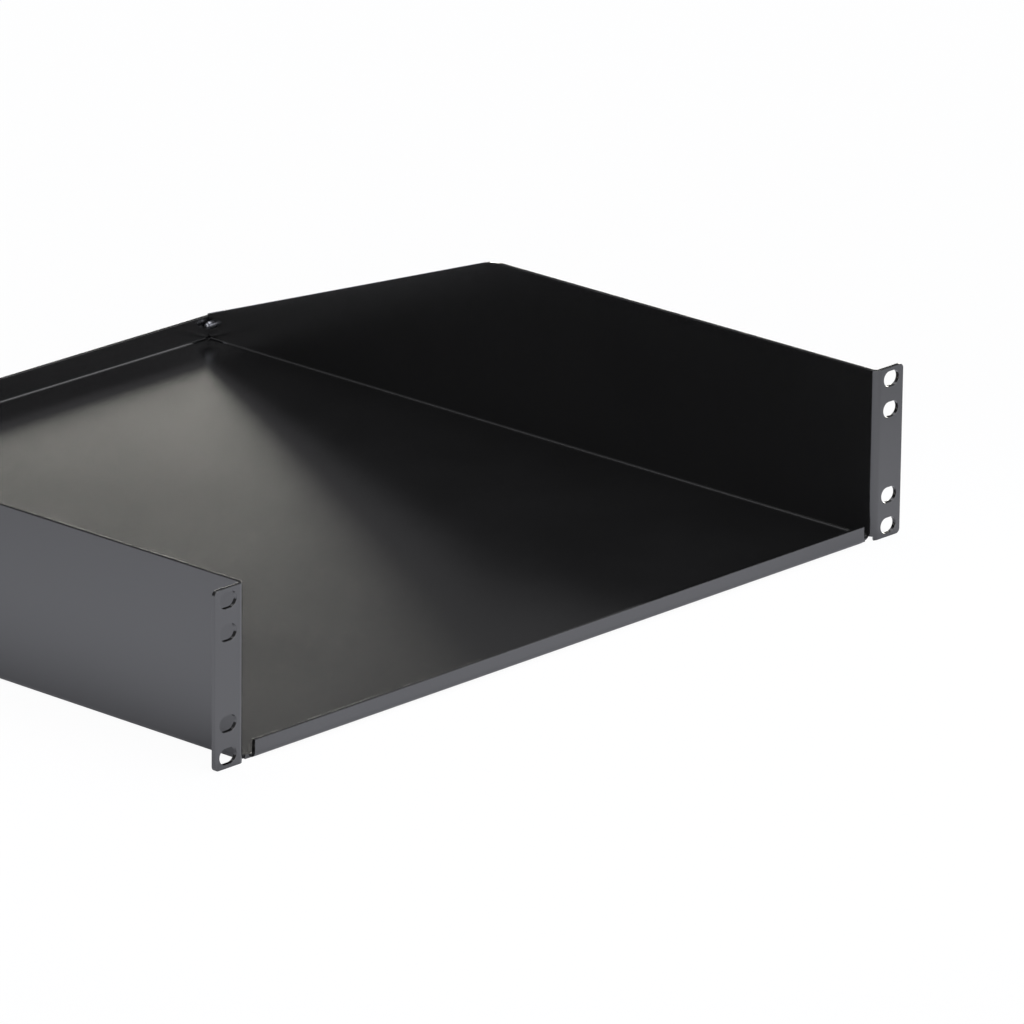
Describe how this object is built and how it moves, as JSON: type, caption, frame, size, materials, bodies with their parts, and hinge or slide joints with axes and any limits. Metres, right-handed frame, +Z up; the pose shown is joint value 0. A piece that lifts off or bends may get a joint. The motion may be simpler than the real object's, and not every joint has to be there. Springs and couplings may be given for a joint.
{
  "type": "rack cabinet shelf",
  "caption": "Cantilever rack shelf folded from one steel sheet: flat tray, sloping side walls, low lips, slotted rack ears and riveted rear corners.",
  "frame": {"origin": "centre of the rack slot pattern, on the rear face of the ears, which is the face that meets the rack rail", "axes": "+X across the rack, from the left ear to the right ear as seen from the front; +Y into the rack, from the ears to the rear lip; +Z up"},
  "size_m": [0.4826, 0.462, 0.0882],
  "materials": {
    "powder_coat": "satin black powder coat with a fine grain",
    "rivet_metal": "bare, slightly dulled",
    "mandrel_steel": "zinc plated"
  },
  "bodies": {
    "root": {"tray": "powder_coat", "rivet_shell_right": "rivet_metal", "rivet_mandrel_right": "mandrel_steel", "rivet_shell_left": "rivet_metal", "rivet_mandrel_left": "mandrel_steel"}
  },
  "joints": []
}
